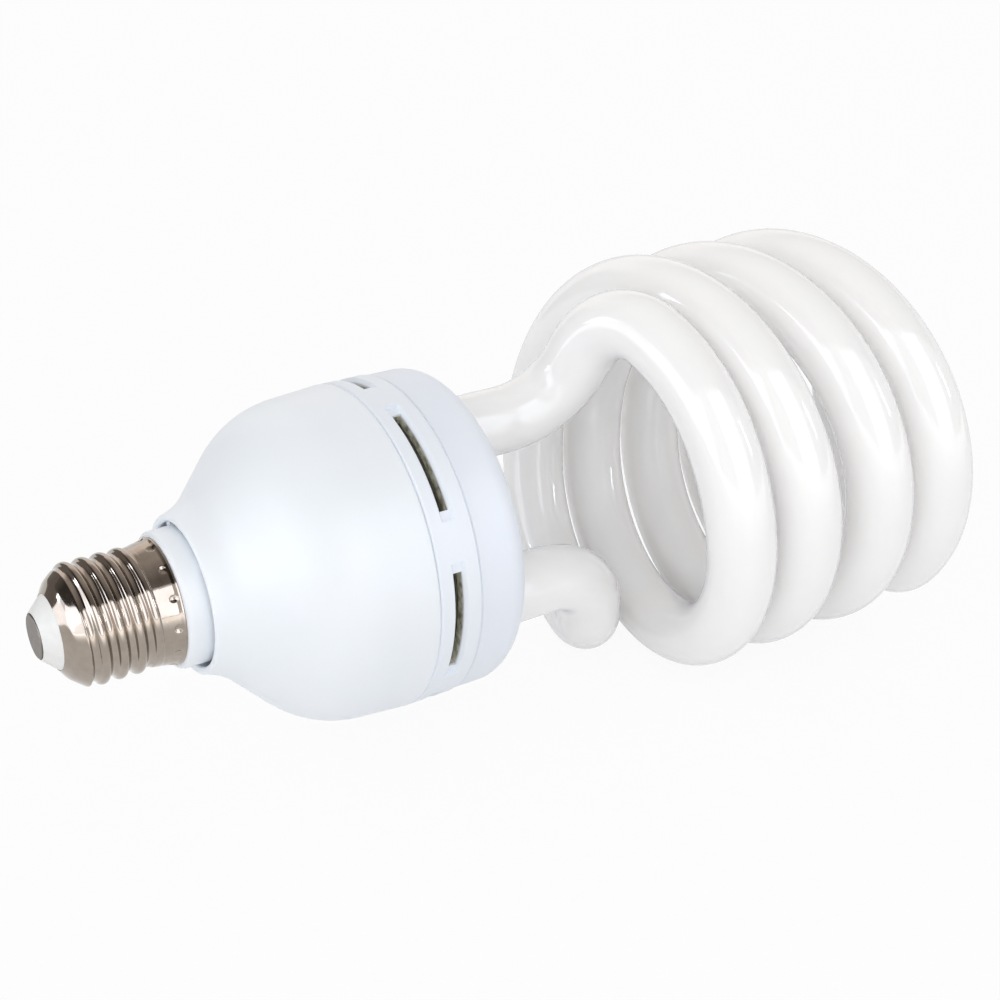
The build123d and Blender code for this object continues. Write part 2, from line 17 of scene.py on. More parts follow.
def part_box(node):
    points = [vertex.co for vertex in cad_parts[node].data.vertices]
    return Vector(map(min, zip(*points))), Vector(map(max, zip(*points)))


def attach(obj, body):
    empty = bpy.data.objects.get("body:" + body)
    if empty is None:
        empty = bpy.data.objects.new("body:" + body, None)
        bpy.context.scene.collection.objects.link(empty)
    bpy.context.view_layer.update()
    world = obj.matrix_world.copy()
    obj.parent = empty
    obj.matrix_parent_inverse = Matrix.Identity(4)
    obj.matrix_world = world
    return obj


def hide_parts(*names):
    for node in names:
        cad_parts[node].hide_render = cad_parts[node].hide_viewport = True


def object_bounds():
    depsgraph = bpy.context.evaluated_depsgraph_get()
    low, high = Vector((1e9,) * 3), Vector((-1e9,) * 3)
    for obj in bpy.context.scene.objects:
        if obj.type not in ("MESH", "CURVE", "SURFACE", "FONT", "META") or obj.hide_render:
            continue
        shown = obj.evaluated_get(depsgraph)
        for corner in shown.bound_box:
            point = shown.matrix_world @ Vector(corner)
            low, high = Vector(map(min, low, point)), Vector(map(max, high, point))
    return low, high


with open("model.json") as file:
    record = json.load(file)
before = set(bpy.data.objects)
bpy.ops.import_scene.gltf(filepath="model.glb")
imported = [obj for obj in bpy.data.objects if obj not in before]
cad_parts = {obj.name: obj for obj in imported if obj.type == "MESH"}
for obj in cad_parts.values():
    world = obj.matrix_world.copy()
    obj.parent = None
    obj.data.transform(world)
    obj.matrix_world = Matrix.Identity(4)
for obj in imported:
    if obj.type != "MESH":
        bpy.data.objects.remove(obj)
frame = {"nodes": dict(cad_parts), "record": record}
cad_low, cad_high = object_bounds()
MM = 0.001
print("frame:", len(frame["nodes"]), "nodes,", [round(v / MM, 1) for v in cad_high - cad_low], "mm")

# %% [markdown]
# ## Small helpers
#
# Hex colours are what a paint card gives, and shaders want linear light, so one function turns the one
# into the other. Another adds a node, and two more start a material and mottle its colour, because no real
# surface is one flat tone. The last makes a finished mesh a piece of the lamp.

# %% Helpers for materials
def linear(hex_colour):
    """The linear colour of an sRGB hex value."""
    parts = [int(hex_colour[i:i + 2], 16) / 255 for i in (1, 3, 5)]
    return [p / 12.92 if p < 0.04045 else ((p + 0.055) / 1.055) ** 2.4 for p in parts] + [1.0]


def add(tree, kind, inputs=None, stops=(), **settings):
    """Adds a node, sets its fields, and gives each input a value or a link."""
    node = tree.nodes.new("ShaderNode" + kind)
    for name, value in settings.items():
        setattr(node, name, value)
    for key, value in (inputs or {}).items():
        if isinstance(value, bpy.types.NodeSocket):
            tree.links.new(value, node.inputs[key])
        else:
            node.inputs[key].default_value = value
    for i, (place, colour) in enumerate(stops):
        ramp = node.color_ramp.elements
        stop = ramp[i] if i < len(ramp) else ramp.new(place)
        stop.position, stop.color = place, linear(colour)
    return node


def new_material(name, **sockets):
    """A named material whose Principled shader has the given constant values."""
    material = bpy.data.materials.new(name)
    material.use_nodes = True
    tree = material.node_tree
    shader = tree.nodes["Principled BSDF"]
    for socket, value in sockets.items():
        shader.inputs[socket.replace("_", " ")].default_value = value
    place = add(tree, "TexCoord").outputs["Object"]
    return material, tree, shader, place


def mottle(tree, shader, place, patch, dark, light, detail=2.0, stops=(0.3, 0.7)):
    """Mottles a shader's colour in patches of a real size, and returns their noise and their colour."""
    noise = add(tree, "TexNoise", {"Vector": place, "Scale": 1 / patch, "Detail": detail}).outputs["Fac"]
    tone = add(tree, "ValToRGB", {"Fac": noise}, zip(stops, (dark, light))).outputs["Color"]
    tree.links.new(tone, shader.inputs["Base Color"])
    return noise, tone


# %% Helper for pieces
SHARP, MERGE = radians(40), 0.001 * MM


def new_piece(name, bm, material, node):
    """Closes a mesh, turns its faces outwards and lets it stand for a CAD node."""
    bmesh.ops.remove_doubles(bm, verts=bm.verts, dist=MERGE)
    bmesh.ops.recalc_face_normals(bm, faces=bm.faces)
    mesh = bpy.data.meshes.new(name)
    bm.to_mesh(mesh)
    bm.free()
    mesh.materials.append(material)
    mesh.shade_smooth()
    mesh.set_sharp_from_angle(angle=SHARP)
    piece = bpy.data.objects.new(name, mesh)
    bpy.context.scene.collection.objects.link(piece)
    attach(piece, "root")
    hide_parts(node)
    print(name, "has", sum(len(p.vertices) - 2 for p in mesh.polygons), "triangles")


# %% [markdown]
# ## Camera
#
# The photo looks down on the lamp from the front left, from about 0.4 m away. A camera that looks at the
# middle of the lamp from the same azimuth and elevation gives the same perspective.

# %% Camera
VIEW_TARGET = Vector((111.5, 0, 1.55)) * MM
VIEW_AZIMUTH, VIEW_ELEVATION, VIEW_DISTANCE = radians(-32.64), radians(25.78), 387.3 * MM
LENS, SENSOR, NEAREST = 59.69, 36.0, 10 * MM


def towards(azimuth, elevation):
    """The unit vector out to an azimuth, counted from the front towards +X, and an elevation."""
    return Vector((sin(azimuth) * cos(elevation), -cos(azimuth) * cos(elevation), sin(elevation)))


lens = bpy.data.cameras.new("camera")
lens.lens, lens.sensor_width, lens.clip_start = LENS, SENSOR, NEAREST
camera = bpy.data.objects.new("camera", lens)
outwards = towards(VIEW_AZIMUTH, VIEW_ELEVATION)
camera.location = VIEW_TARGET + outwards * VIEW_DISTANCE
camera.rotation_euler = (-outwards).to_track_quat("-Z", "Y").to_euler()
bpy.context.scene.collection.objects.link(camera)
bpy.context.scene.camera = camera
bpy.context.scene.view_settings.view_transform = "Standard"
print("camera at", [round(v, 3) for v in camera.location])

# %% [markdown]
# ## Floor and background
#
# The photo's ground is white paper. Light Path lets the floor and the world show white to the camera and
# to reflections, while the world lights the lamp at a plain level. The floor keeps a share of plain
# diffuse paper, so the lamp's soft shadow stays on it. In reflections the floor pales towards the front,
# where a softbox stands on it.

# %% Stage helpers
def looked_at(tree):
    """1 for rays from the camera, from a reflection or through glass, and 0 for the light's own rays."""
    rays = add(tree, "LightPath").outputs
    seen = add(tree, "Math", {0: rays["Is Camera Ray"], 1: rays["Is Glossy Ray"]}, operation="MAXIMUM")
    seen = add(tree, "Math", {0: seen.outputs[0], 1: rays["Is Transmission Ray"]}, operation="MAXIMUM")
    return seen.outputs[0]


def stage_sheet(name, size, centre, material, tilt=0.0):
    """A flat sheet, level unless tilted about X, that belongs to the studio and not to the lamp."""
    bm = bmesh.new()
    bmesh.ops.create_grid(bm, size=0.5)
    bmesh.ops.scale(bm, verts=bm.verts, vec=(*size, 1))
    bmesh.ops.rotate(bm, verts=bm.verts, matrix=Matrix.Rotation(tilt, 3, "X"))
    bmesh.ops.translate(bm, verts=bm.verts, vec=centre)
    mesh = bpy.data.meshes.new(name)
    bm.to_mesh(mesh)
    bm.free()
    mesh.materials.append(material)
    sheet = bpy.data.objects.new(name, mesh)
    bpy.context.scene.collection.objects.link(sheet)
    return sheet


# %% Floor
# Uncoated paper: white and without gloss, with a faint cloud of fibres.
FLOOR_SIZE, PAPER_SHARE, FIBRE = 6.0, 0.08, 4 * MM
GLEAM, GLEAM_FROM, GLEAM_TO = 2.6, -0.12, -0.4

paper, tree, shader, place = new_material("matte_paper", Roughness=0.9)
mottle(tree, shader, place, FIBRE, "#ECECEC", "#F2F2F2")
share = add(tree, "Math", {0: looked_at(tree), 1: 1 - PAPER_SHARE}, operation="MULTIPLY")
spot = add(tree, "SeparateXYZ", {"Vector": place})
gleam = add(tree, "MapRange", {"Value": spot.outputs["Y"], "From Min": GLEAM_FROM, "From Max": GLEAM_TO,
                               "To Min": 1.0, "To Max": GLEAM})
rays = add(tree, "LightPath")
level = add(tree, "Mix", {0: rays.outputs["Is Glossy Ray"], 2: 1.0, 3: gleam.outputs["Result"]})
glow = add(tree, "Emission", {"Color": linear("#FFFFFF"), "Strength": level.outputs[0]})
both = add(tree, "MixShader", {"Fac": share.outputs[0], 1: shader.outputs[0], 2: glow.outputs[0]})
tree.links.new(both.outputs[0], tree.nodes["Material Output"].inputs["Surface"])
stage_sheet("floor", (FLOOR_SIZE, FLOOR_SIZE), (0, 0, cad_low.z), paper)
print("floor at", round(cad_low.z / MM, 2), "mm")

# %% World
AMBIENT = 0.77

world = bpy.data.worlds.new("studio")
bpy.context.scene.world = world
world.use_nodes = True
tree = world.node_tree
level = add(tree, "MapRange", {"Value": looked_at(tree), "To Min": AMBIENT, "To Max": 1.0})
sky = tree.nodes["Background"]
sky.inputs["Color"].default_value = linear("#FFFFFF")
tree.links.new(level.outputs["Result"], sky.inputs["Strength"])
print("world lights at", AMBIENT)

# %% [markdown]
# ## Lamps
#
# The photo's light is even and almost without shadow, yet the glass and the nickel show small bright
# lamps. So two softboxes light the surfaces at a plain level, and five more, daylight white, are seen by
# reflections alone. Each is given by its direction and the angles that it fills, in degrees, and by its
# radiance, where 1 is plain white.

# %% Lamps
LAMP_DISTANCE, DAYLIGHT = 1.0, "#ECF2FF"


def softbox(name, azimuth, elevation, width, height, radiance, mirrored):
    """An area lamp that fills the given angles, for reflections or for the plain light."""
    wide, high = (2 * LAMP_DISTANCE * tan(radians(angle) / 2) for angle in (width, height))
    light = bpy.data.lights.new(name, "AREA")
    light.shape, light.size, light.size_y = "RECTANGLE", wide, high
    light.energy = radiance * pi * wide * high
    light.color = linear(DAYLIGHT if mirrored else "#FFFFFF")[:3]
    lamp = bpy.data.objects.new(name, light)
    out = towards(radians(azimuth), radians(elevation))
    lamp.location = VIEW_TARGET + out * LAMP_DISTANCE
    lamp.rotation_euler = (-out).to_track_quat("-Z", "Y").to_euler()
    lamp.visible_diffuse, lamp.visible_glossy = not mirrored, mirrored
    bpy.context.scene.collection.objects.link(lamp)


softbox("left_light", -60, 24, 56, 40, 0.62, False)
softbox("front_light", -25, 26, 50, 40, 0.6, False)
softbox("left_gloss", -82, 22, 26, 40, 1.6, True)
softbox("left_window", -89, 19, 62, 42, 1.9, True)
softbox("front_window", 6, 26, 46, 52, 2.4, True)
softbox("right_gloss", 52, 20, 6, 14, 10.0, True)
softbox("rear_gloss", -120, 17, 8, 12, 8.0, True)

# %% [markdown]
# Bright metal needs something dark to mirror, or it looks like paint. A dim ceiling above the lamp gives
# the screw shell its dark band. It is darkest on the left and in front, and pales towards the back. A dark
# wall behind on the left draws the flanks of the thread. Both are cards that only reflections see.

# %% Dim ceiling
CEILING_HEIGHT, CEILING_SIZE = 0.5, 3.0
CEILING_FRONT, CEILING_BACK = -0.36, 2.5
DUSK_FROM, DUSK_TO, DUSK_LOW, DUSK_HIGH = -0.2, 0.17, 0.24, 0.58
PALE_FROM, PALE_TO, PALE_RISE = 0.45, 0.75, 0.75
LEFT_SHARE, LEFT_END, RIGHT_START = 0.12, -0.3, 0.0
CARD_TINT = "#FFF5EE"


def mirror_card(name, size, centre, material, tilt=0.0):
    """A stage sheet that only reflections see."""
    card = stage_sheet(name, size, centre, material, tilt)
    card.visible_camera = card.visible_diffuse = False
    card.visible_shadow = card.visible_transmission = False


ceiling_paint, tree, _, place = new_material("dim_ceiling")
spot = add(tree, "SeparateXYZ", {"Vector": place})
dusk = add(tree, "MapRange", {"Value": spot.outputs["Y"], "From Min": DUSK_FROM, "From Max": DUSK_TO,
                              "To Min": DUSK_LOW, "To Max": DUSK_HIGH})
pale = add(tree, "MapRange", {"Value": spot.outputs["Y"], "From Min": PALE_FROM, "From Max": PALE_TO,
                              "To Max": PALE_RISE})
level = add(tree, "Math", {0: dusk.outputs["Result"], 1: pale.outputs["Result"]}, operation="ADD")
side = add(tree, "MapRange", {"Value": spot.outputs["X"], "From Min": LEFT_END, "From Max": RIGHT_START,
                              "To Min": LEFT_SHARE, "To Max": 1.0})
level = add(tree, "Math", {0: level.outputs[0], 1: side.outputs["Result"]}, operation="MULTIPLY")
dull = add(tree, "Emission", {"Color": linear(CARD_TINT), "Strength": level.outputs[0]})
tree.links.new(dull.outputs[0], tree.nodes["Material Output"].inputs["Surface"])
mirror_card("dim_ceiling", (CEILING_SIZE, CEILING_BACK - CEILING_FRONT),
            (0, (CEILING_FRONT + CEILING_BACK) / 2, CEILING_HEIGHT), ceiling_paint)
print("ceiling at", CEILING_HEIGHT, "m")

# %% Dark wall
WALL_SIZE, WALL_CENTRE, WALL_LEVEL = (1.5, 0.6), (-0.8, 1.0, 0.25), 0.25

wall_paint, tree, *_ = new_material("dark_wall")
dull = add(tree, "Emission", {"Color": linear(CARD_TINT), "Strength": WALL_LEVEL})
tree.links.new(dull.outputs[0], tree.nodes["Material Output"].inputs["Surface"])
mirror_card("dark_wall", WALL_SIZE, WALL_CENTRE, wall_paint, radians(90))
print("wall at", WALL_CENTRE, "m")

# %% [markdown]
# ## Glass tube
#
# The real tube is one length of glass, bent hot: two legs, two swan necks, two strands of a double helix
# and a bridge across the head. A bevelled curve would do, but its rings twist at the bends. Here one ring
# of edges is walked along the route: extrude makes a straight run, spin makes a bend, and a spin that
# also moves along the axis makes the true helix.

# %% Tube material
# Soda-lime glass over a white phosphor coat: a bright warm white with a hard gloss, and a cooler line
# where the wall of the glass is seen along its length.
COAT_PATCH, COAT_GLOW = 14 * MM, 6 * MM
EDGE_FROM, EDGE_TO, EDGE_COLOUR = 0.7, 0.98, "#CBC8D2"

glass, tree, shader, place = new_material("phosphor_coated_glass", Roughness=0.07, IOR=1.52,
                                          Subsurface_Weight=0.35, Subsurface_Radius=(1, 1, 1),
                                          Subsurface_Scale=COAT_GLOW)
_, coat = mottle(tree, shader, place, COAT_PATCH, "#FBFAF9", "#FDFCFB")
facing = add(tree, "LayerWeight", {"Blend": 0.5})
edge = add(tree, "MapRange", {"Value": facing.outputs["Facing"], "From Min": EDGE_FROM, "From Max": EDGE_TO})
tone = add(tree, "Mix", {0: edge.outputs["Result"], 6: coat, 7: linear(EDGE_COLOUR)}, data_type="RGBA")
tree.links.new(tone.outputs[2], shader.inputs["Base Color"])
print("made", glass.name)

# %% Tube sizes
CAP_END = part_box("tube_cap")[1].x
TUBE_R, TUBE_END = 7.95 * MM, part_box("spiral_tube")[0].x
TUBE_END_ROUND = 2.5 * MM
LEG_R, LEG_ANGLE = 19.5 * MM, radians(-28)
KNEE_X, NECK_ARM = (CAP_END + 34.9 * MM, CAP_END + 33.5 * MM), 15.5 * MM
NECK_BEND, NECK_TURN = 18.5 * MM, 15.0 * MM
COIL_R, COIL_PITCH, COIL_X = 43.4 * MM, 42.5 * MM, CAP_END + 41.0 * MM
COIL_START, COIL_END, COIL_STEP = radians(22), radians(668), radians(3)
BRIDGE_ARM, BRIDGE_BEND = 38.5 * MM, 17.0 * MM

# Bent glass is never quite even. Each strand is shifted, starts ahead of its helix and ends behind it,
# by these lengths and between these angles in degrees.
STRAND_SHIFT = (0, -1.5 * MM)
FOOT_SLACK, FOOT_EASE = (2.5 * MM, 3.8 * MM), ((22, 90), (100, 250))
HEAD_SLACK, HEAD_EASE = (3.3 * MM, 0), (480, 620)
print("each strand winds", round((COIL_END - COIL_START) / (2 * pi), 2), "turns")

# %% Tube route
def around(angle, radius, x):
    """The point at an angle about the axis, from the top towards the front."""
    return Vector((x, -radius * sin(angle), radius * cos(angle)))


def ease(angle, start, end):
    """Goes smoothly from 0 to 1 between two angles in degrees."""
    share = min(1, max(0, (angle - radians(start)) / radians(end - start)))
    return share**2 * (3 - 2 * share)


def coil_point(angle, strand):
    """A point on the middle line of a strand."""
    ahead = FOOT_SLACK[strand] * (1 - ease(angle, *FOOT_EASE[strand]))
    behind = HEAD_SLACK[strand] * ease(angle, *HEAD_EASE)
    x = COIL_X + STRAND_SHIFT[strand] + COIL_PITCH * angle / (2 * pi) + ahead - behind
    return around(angle + strand * pi, COIL_R, x)


def coil_direction(angle, strand):
    """The direction in which that strand climbs there."""
    return (coil_point(angle + COIL_STEP, strand) - coil_point(angle - COIL_STEP, strand)).normalized()


routes = []
for strand in range(2):
    turn = LEG_ANGLE + strand * pi
    start = coil_point(COIL_START, strand)
    end = coil_point(COIL_END, strand)
    routes.append({
        "foot": around(turn, LEG_R, TUBE_END),
        "knee": around(turn, LEG_R, KNEE_X[strand]),
        "elbow": start - coil_direction(COIL_START, strand) * NECK_ARM,
        "start": start, "end": end,
        "head": end + coil_direction(COIL_END, strand) * BRIDGE_ARM})
first, second = routes
print("bridge is", round((first["head"] - second["head"]).length / MM, 1), "mm between its corners")

# %% Ways to carry the ring
BEND_STEP = radians(5)
X_AXIS = Vector((1, 0, 0))


def run_to(bm, ring, here, there):
    """Extrudes the ring of edges straight from one point to another."""
    grown = bmesh.ops.extrude_edge_only(bm, edges=ring)["geom"]
    verts = [g for g in grown if isinstance(g, bmesh.types.BMVert)]
    bmesh.ops.translate(bm, verts=verts, vec=there - here)
    fresh = set(verts)
    return [g for g in grown if isinstance(g, bmesh.types.BMEdge) and fresh.issuperset(g.verts)]


def spin_ring(bm, ring, cent, axis, angle, steps, rise=Vector()):
    """Spins the ring of edges about an axis, with a climb spread over its steps."""
    verts = list({v for e in ring for v in e.verts})
    spun = bmesh.ops.spin(bm, geom=verts + ring, cent=cent, axis=axis, dvec=rise / steps,
                          angle=angle, steps=steps, use_merge=False, use_duplicate=False)
    return [g for g in spun["geom_last"] if isinstance(g, bmesh.types.BMEdge)]


def bend_at(bm, ring, here, corner, there, radius):
    """Runs towards a corner and bends round it, and returns the ring and where it is."""
    before, after = (corner - here).normalized(), (there - corner).normalized()
    angle = before.angle(after)
    start = corner - before * radius * tan(angle / 2)
    inward = (after - before * before.dot(after)).normalized()
    ring = run_to(bm, ring, here, start)
    ring = spin_ring(bm, ring, start + inward * radius, before.cross(after).normalized(), angle,
                     max(2, round(angle / BEND_STEP)))
    return ring, corner + after * (corner - start).length


def wind(bm, ring, strand, start, end):
    """Winds the ring of edges along a strand, each short spin with the climb that it has there."""
    steps = round(abs(end - start) / COIL_STEP)
    angles = [start + (end - start) * i / steps for i in range(steps + 1)]
    for before, after in zip(angles, angles[1:]):
        rise = coil_point(after, strand).x - coil_point(before, strand).x
        ring = spin_ring(bm, ring, Vector(), X_AXIS, after - before, 1, X_AXIS * rise)
    return ring


def middle(ring):
    """The middle of a ring of edges."""
    points = [v.co for e in ring for v in e.verts]
    return sum(points, Vector()) / len(points)


# %% Walk the tube
TUBE_SIDES = 48

bm = bmesh.new()
bmesh.ops.create_circle(bm, cap_ends=True, radius=TUBE_R, segments=TUBE_SIDES)
bmesh.ops.rotate(bm, verts=bm.verts, matrix=X_AXIS.to_track_quat("Z", "Y").to_matrix())
bmesh.ops.translate(bm, verts=bm.verts, vec=first["foot"])
ring = end_edges = list(bm.edges)
ring, here = bend_at(bm, ring, first["foot"], first["knee"], first["elbow"], NECK_BEND)
ring, here = bend_at(bm, ring, here, first["elbow"], first["start"], NECK_TURN)
ring = run_to(bm, ring, here, first["start"])
ring = wind(bm, ring, 0, COIL_START, COIL_END)
drift = (middle(ring) - first["end"]).length
ring, here = bend_at(bm, ring, first["end"], first["head"], second["head"], BRIDGE_BEND)
ring, here = bend_at(bm, ring, here, second["head"], second["end"], BRIDGE_BEND)
ring = run_to(bm, ring, here, second["end"])
ring = wind(bm, ring, 1, COIL_END, COIL_START)
ring, here = bend_at(bm, ring, second["start"], second["elbow"], second["knee"], NECK_TURN)
ring, here = bend_at(bm, ring, here, second["knee"], second["foot"], NECK_BEND)
ring = run_to(bm, ring, here, second["foot"])
drift = max(drift, (middle(ring) - second["foot"]).length)
bmesh.ops.contextual_create(bm, geom=ring)
bmesh.ops.bevel(bm, geom=end_edges + ring, offset=TUBE_END_ROUND, segments=5, profile=0.5,
                affect="EDGES", material=-1)
new_piece("glass_tube", bm, glass, "spiral_tube")
print("the walk ends within", round(drift / MM, 4), "mm of its route")

# %% [markdown]
# ## Screw shell
#
# The shell is thin brass sheet, drawn to a cup, nickel plated and rolled between two dies. Its thread is a
# wave of equal arcs, as the lamp standards draw it, and has no sharp edge. It runs out into a skirt that
# flares towards the rim, where stakes are punched in. A screw modifier would leave a seam at each end of
# the thread. So a spun outline gives the cup with fine rows along its wall, and each row takes its radius
# from the cone of the shoulder, from the wave or from the flare, with soft changes between them.

# %% Nickel material
# Nickel plate on rolled sheet: a warm grey mirror with a slight haze that comes and goes along it. The
# constant roughness is the mean of the haze, for programs that cannot follow the nodes.
HAZE, HAZE_LEAST, HAZE_MOST = 3 * MM, 0.05, 0.13

nickel, tree, shader, place = new_material("nickel_plated_brass", Metallic=1.0, Roughness=0.09)
haze, _ = mottle(tree, shader, place, HAZE, "#9C9288", "#A89E94", 3.0)
gloss = add(tree, "MapRange", {"Value": haze, "To Min": HAZE_LEAST, "To Max": HAZE_MOST})
tree.links.new(gloss.outputs["Result"], shader.inputs["Roughness"])
print("made", nickel.name)

# %% Shell outline
LIP_X, LIP_R, FLANGE_X = 3.4 * MM, 8.1 * MM, 6.0 * MM
SKIRT_END, SKIRT_R = 26.3 * MM, 13.6 * MM
RIM_X, RIM_R, RIM_T, RIM_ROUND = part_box("screw_shell")[1].x, 13.9 * MM, 0.45 * MM, 0.12 * MM
BORE_R, FLANGE_R = 11.7 * MM, 9.9 * MM
SEAT_X, SEAT_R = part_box("screw_shell")[0].x, 9.05 * MM
SHELL_STEPS, ROW = 360, 0.12 * MM

bm = bmesh.new()
points = ((LIP_X, LIP_R), (SKIRT_END, SKIRT_R), (RIM_X - RIM_T, RIM_R), (RIM_X, RIM_R), (RIM_X, BORE_R),
          (FLANGE_X + BORE_R - FLANGE_R, BORE_R), (FLANGE_X, FLANGE_R), (FLANGE_X, SEAT_R), (SEAT_X, SEAT_R))
corners = [bm.verts.new((x, 0, r)) for x, r in points]
walls = [bm.edges.new(pair) for pair in zip(corners, corners[1:] + corners[:1])]
bmesh.ops.bevel(bm, geom=corners[2:4], offset=RIM_ROUND, segments=3, profile=0.5,
                affect="VERTICES", material=-1)
bmesh.ops.subdivide_edges(bm, edges=walls[:1], cuts=round((SKIRT_END - LIP_X) / ROW))
print("outline has", len(bm.verts), "points")
bmesh.ops.spin(bm, geom=bm.verts[:] + bm.edges[:], cent=(0, 0, 0), axis=X_AXIS, angle=2 * pi,
               steps=SHELL_STEPS, use_merge=True)

# %% Radius of the rolled wall
LIP_SLOPE, LIP_BLEND = 1.6, 0.3 * MM
SHOULDER_X, SHOULDER_R, SHOULDER_SLOPE, SHOULDER_BLEND = 4.85 * MM, 10.45 * MM, 0.8, 0.2 * MM
THREAD_PITCH, THREAD_ROUND, CREST_R = 3.81 * MM, 1.06 * MM, 13.28 * MM
THREAD_DEPTH = 2 * (THREAD_ROUND - sqrt(THREAD_ROUND**2 - (THREAD_PITCH / 4) ** 2))
ROOT_X, TURNS, RUN_OUT = 7.48 * MM, 3.15, 0.3
SKIRT_SLOPE, SKIRT_BLEND = 0.19, 0.15 * MM


def lower(first, second, blend):
    """The lower of two radii, with a soft change from one to the other."""
    return (first + second - hypot(first - second, blend)) / 2


def wall_radius(x, angle):
    """The radius of the rolled wall at a place along the axis and an angle about it."""
    # Roots lie at whole phases and crests half way between them. This is the depth below the crest.
    phase = (x - ROOT_X) / THREAD_PITCH - angle / (2 * pi)
    off = abs(phase - round(phase)) * THREAD_PITCH
    if off < THREAD_PITCH / 4:
        below = THREAD_DEPTH - THREAD_ROUND + sqrt(THREAD_ROUND**2 - off**2)
    else:
        below = THREAD_ROUND - sqrt(THREAD_ROUND**2 - (THREAD_PITCH / 2 - off) ** 2)
    # The nearest root and crest fade where the thread runs out into the flare of the skirt.
    root, crest = (min(1, max(0, (TURNS + RUN_OUT - angle / (2 * pi) - count) / RUN_OUT))
                   for count in (round(phase), floor(phase)))
    skirt = SKIRT_R + (x - SKIRT_END) * SKIRT_SLOPE
    wave = -lower(below - CREST_R, root * THREAD_DEPTH - skirt, SKIRT_BLEND)
    wave = lower(wave, skirt + crest * (CREST_R + SKIRT_BLEND - skirt), SKIRT_BLEND)
    lip = LIP_R + (x - LIP_X) * LIP_SLOPE
    cone = lower(lip, SHOULDER_R + (x - SHOULDER_X) * SHOULDER_SLOPE, LIP_BLEND)
    return lower(cone, wave, SHOULDER_BLEND)


print("thread is", round(THREAD_DEPTH / MM, 2), "mm deep")

# %% Roll the thread and punch the stakes
STAKES, STAKE_TURN, STAKE_X = 13, radians(5.5), 25.7 * MM
STAKE_R, STAKE_DEPTH = 0.9 * MM, 0.4 * MM
ON_WALL = 0.01 * MM

slant = (SKIRT_R - LIP_R) / (SKIRT_END - LIP_X)
span = 2 * pi / STAKES
for vert in bm.verts:
    x, r = vert.co.x, hypot(vert.co.y, vert.co.z)
    if abs(r - LIP_R - (x - LIP_X) * slant) < ON_WALL:
        angle = atan2(-vert.co.y, vert.co.z) % (2 * pi)
        away = ((angle - STAKE_TURN + span / 2) % span - span / 2) * SKIRT_R
        punch = max(0, 1 - (hypot(away, x - STAKE_X) / STAKE_R) ** 2)
        vert.co.yz = vert.co.yz * ((wall_radius(x, angle) - STAKE_DEPTH * punch) / r)
new_piece("rolled_shell", bm, nickel, "screw_shell")

# %% [markdown]
# ## Housing
#
# Collar, bell, vent ring and cap are moulded in cool white PBT, which has a satin skin with a very fine
# grain. The CAD solids have the right shapes, so they only need their material.

# %% Housing material
CLOUD, GLOW_DEPTH = 20 * MM, 3 * MM
GRAIN, GRAIN_DEPTH, GRAIN_STRENGTH = 0.35 * MM, 0.02 * MM, 0.12


def moulded(name, dark, light, glow):
    """Moulded PBT: cool white, satin and a little translucent, with the dull grain of its mould."""
    material, tree, shader, place = new_material(name, Roughness=0.42, IOR=1.5, Subsurface_Weight=glow,
                                                 Subsurface_Radius=(1, 1, 1), Subsurface_Scale=GLOW_DEPTH)
    mottle(tree, shader, place, CLOUD, dark, light)
    grain = add(tree, "TexNoise", {"Vector": place, "Scale": 1 / GRAIN, "Detail": 2.0})
    bump = add(tree, "Bump", {"Height": grain.outputs["Fac"], "Strength": GRAIN_STRENGTH,
                              "Distance": GRAIN_DEPTH})
    tree.links.new(bump.outputs["Normal"], shader.inputs["Normal"])
    return material


def dress(material, *names):
    """Gives CAD nodes a material in place of their own."""
    for name in names:
        mesh = frame["nodes"][name].data
        mesh.materials.clear()
        mesh.materials.append(material)


dress(moulded("bell_pbt", "#EFF5FC", "#F2F7FE", 0.3), "lower_housing")
dress(moulded("cap_pbt", "#E7ECF6", "#EAEFF8", 0.3), "tube_cap")
print("bell and cap dressed")

# %% [markdown]
# ## Slots of the vent ring
#
# The ring is the same plastic, with long slots through which the ballast shows: a mottled olive grey with
# dark and pale scraps. Seen at a slant, a slot shows little more than its own walls, so wherever the ring's
# surface lies below the skin it gets painted shade: olive grey, mottled dark and pale, that stands for the
# shade in the slot and the ballast behind it.

# %% Slots of the vent ring
SKIN_R, SKIN_EDGE, SHADE_SCRAP = 35.6 * MM, 0.15 * MM, 1.6 * MM

ring_pbt = moulded("ring_pbt", "#E9EEF6", "#ECF1F8", 0.1)
tree = ring_pbt.node_tree
skin = tree.nodes["Principled BSDF"].inputs["Base Color"]
place = add(tree, "TexCoord").outputs["Object"]
flat = add(tree, "VectorMath", {0: place, 1: (0, 1, 1)}, operation="MULTIPLY")
radius = add(tree, "VectorMath", {0: flat.outputs[0]}, operation="LENGTH")
